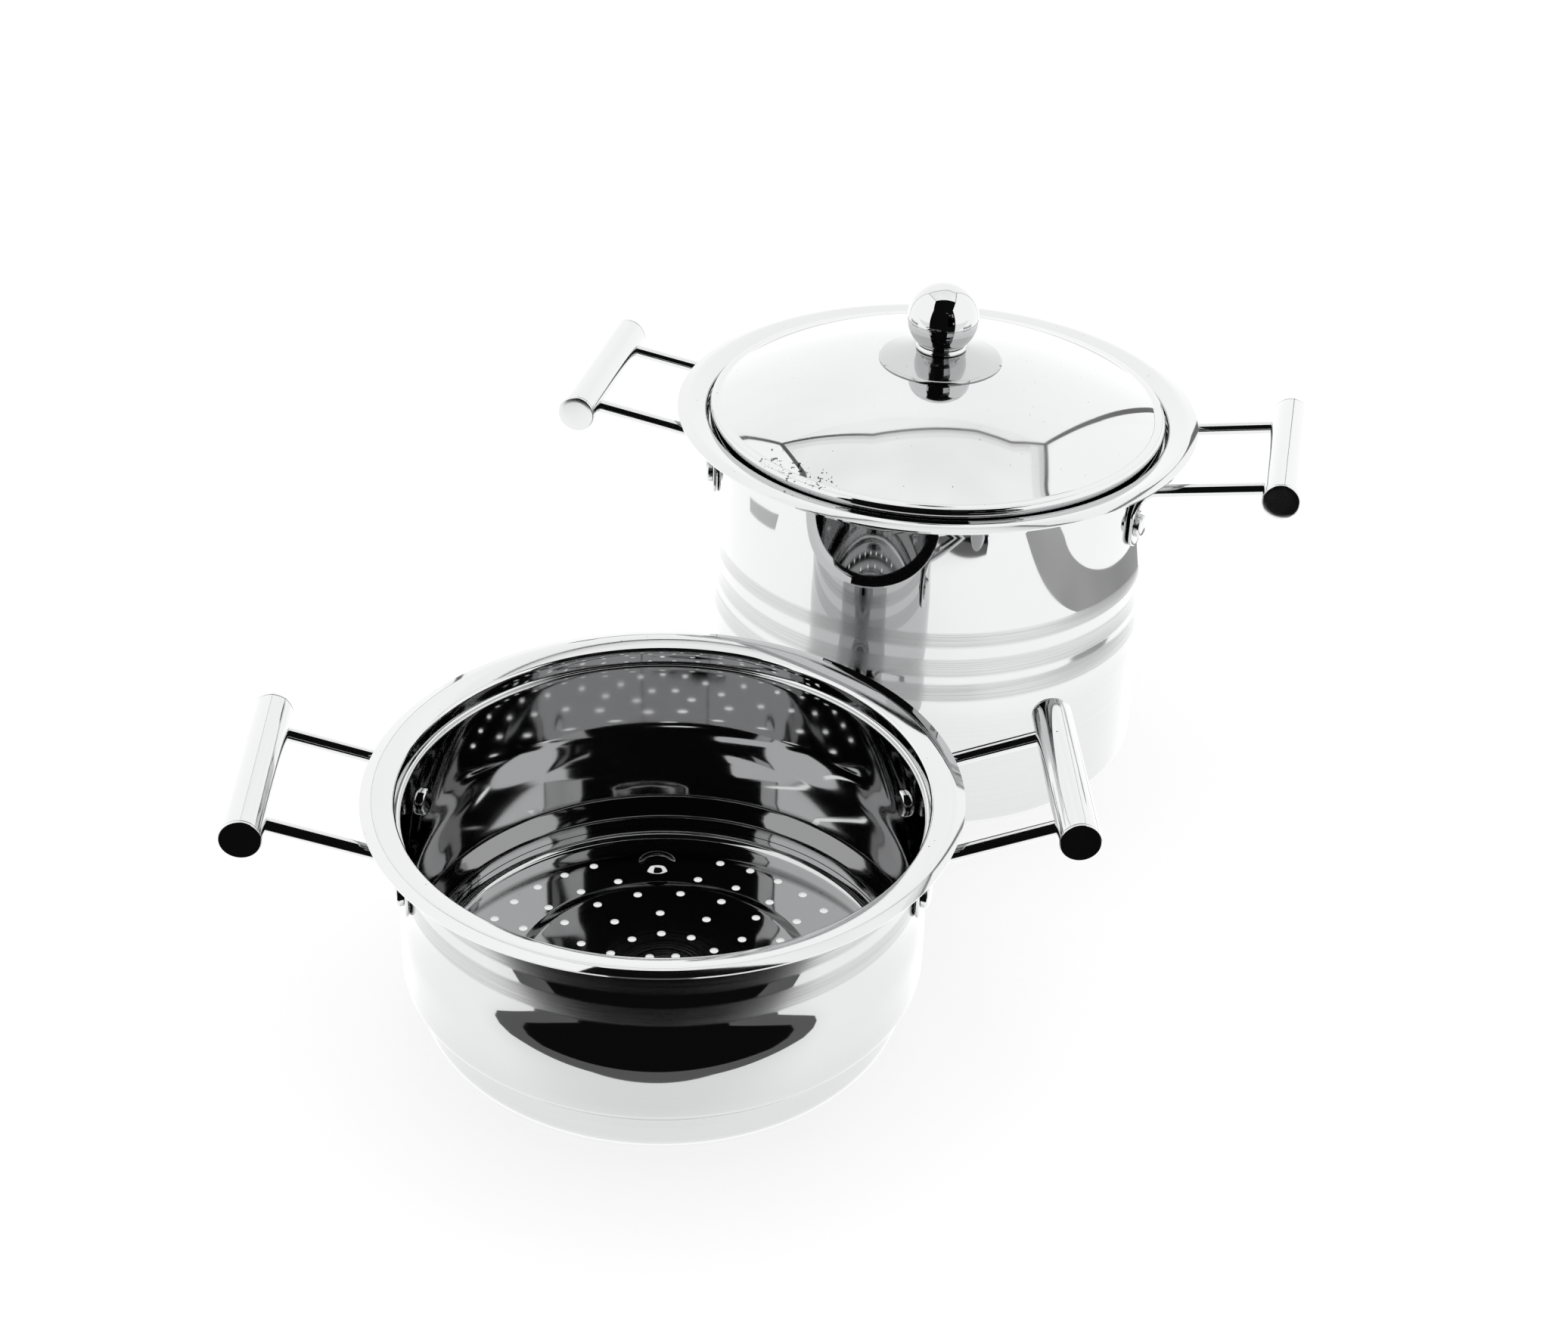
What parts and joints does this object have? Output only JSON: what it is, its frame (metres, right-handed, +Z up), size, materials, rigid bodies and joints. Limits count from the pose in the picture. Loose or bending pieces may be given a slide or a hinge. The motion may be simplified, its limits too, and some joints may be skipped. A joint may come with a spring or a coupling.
{
  "type": "couscous pot",
  "caption": "Stainless steel couscous pot with a domed knob lid and a perforated steamer beside it, all with riveted bar handles.",
  "frame": {"origin": "centre of the pot's base, on the table", "axes": "+Z up along the pot's axis, +X along the pot's two handles, -Y towards the steamer in front"},
  "size_m": [0.4869, 0.5783, 0.2678],
  "materials": {
    "mirror_steel": "mirror polished stainless steel",
    "satin_steel": "stainless steel with polished and finely brushed bands",
    "plain_steel": "plain steel fastener"
  },
  "bodies": {
    "pot": {"pot_body": "satin_steel", "pot_right_grip": "mirror_steel", "pot_right_cap_front": "mirror_steel", "pot_right_rod_front": "mirror_steel", "pot_right_rivet_front": "mirror_steel", "pot_right_cap_back": "mirror_steel", "pot_right_rod_back": "mirror_steel", "pot_right_rivet_back": "mirror_steel", "pot_left_grip": "mirror_steel", "pot_left_cap_front": "mirror_steel", "pot_left_rod_front": "mirror_steel", "pot_left_rivet_front": "mirror_steel", "pot_left_cap_back": "mirror_steel", "pot_left_rod_back": "mirror_steel", "pot_left_rivet_back": "mirror_steel"},
    "lid": {"lid_shell": "mirror_steel", "knob_disc": "mirror_steel", "knob_collar": "mirror_steel", "knob_ball": "mirror_steel", "knob_screw": "plain_steel", "knob_washer": "plain_steel"},
    "steamer": {"steamer_body": "satin_steel", "steamer_floor": "mirror_steel", "steamer_right_grip": "mirror_steel", "steamer_right_cap_front": "mirror_steel", "steamer_right_rod_front": "mirror_steel", "steamer_right_rivet_front": "mirror_steel", "steamer_right_cap_back": "mirror_steel", "steamer_right_rod_back": "mirror_steel", "steamer_right_rivet_back": "mirror_steel", "steamer_left_grip": "mirror_steel", "steamer_left_cap_front": "mirror_steel", "steamer_left_rod_front": "mirror_steel", "steamer_left_rivet_front": "mirror_steel", "steamer_left_cap_back": "mirror_steel", "steamer_left_rod_back": "mirror_steel", "steamer_left_rivet_back": "mirror_steel"}
  },
  "joints": [
    {"name": "lid_lift", "type": "slide", "parent": "pot", "child": "lid", "axis": [0, 0, 1], "range_m": [0, 0.15]},
    {"name": "steamer_lift", "type": "slide", "parent": "pot", "child": "steamer", "axis": [0, 0, 1], "range_m": [0, 0.25]}
  ]
}
